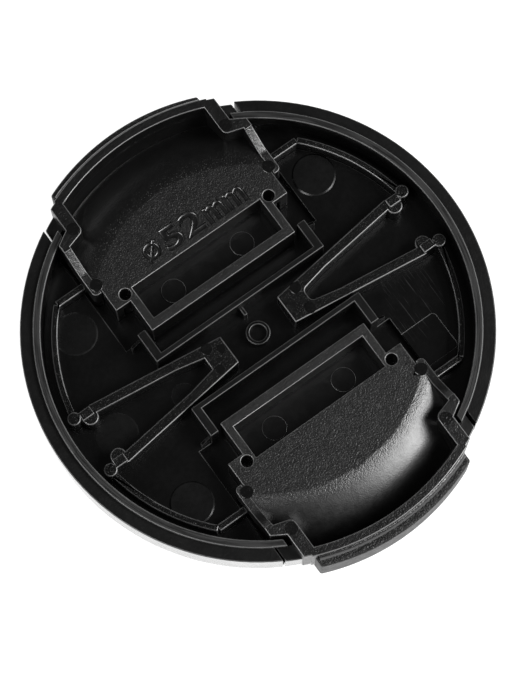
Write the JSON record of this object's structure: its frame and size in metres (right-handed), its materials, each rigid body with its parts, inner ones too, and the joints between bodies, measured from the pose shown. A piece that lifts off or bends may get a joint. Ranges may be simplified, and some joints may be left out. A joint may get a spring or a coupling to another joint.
{
  "type": "camera lens cap",
  "caption": "Round push-in camera lens cap for a 52 mm filter thread, with sprung pinch levers whose claws draw in when the finger bars or side lips are squeezed.",
  "frame": {"origin": "centre of the front face, which lies down", "axes": "+Z towards the lens, +Y along the pinch towards the lever with the size mark, +X along the rails"},
  "size_m": [0.054, 0.057, 0.0078],
  "materials": {
    "body_plastic": "black moulded satin",
    "lever_plastic": "black moulded, fine grain",
    "spring_plastic": "black moulded satin"
  },
  "bodies": {
    "body": {"cap_body": "body_plastic", "right_v_spring": "spring_plastic", "left_v_spring": "spring_plastic"},
    "upper_lever": {"upper_pinch_lever": "lever_plastic"},
    "lower_lever": {"lower_pinch_lever": "lever_plastic"}
  },
  "joints": [
    {"name": "upper_pinch", "type": "slide", "parent": "body", "child": "upper_lever", "axis": [0, -1, 0], "range_m": [0, 0.0018], "stiffness_N_per_m": 2100, "deforming": ["right_v_spring", "left_v_spring"]},
    {"name": "lower_pinch", "type": "slide", "parent": "body", "child": "lower_lever", "axis": [0, 1, 0], "range_m": [0, 0.0018], "stiffness_N_per_m": 2100, "deforming": ["right_v_spring", "left_v_spring"]}
  ]
}
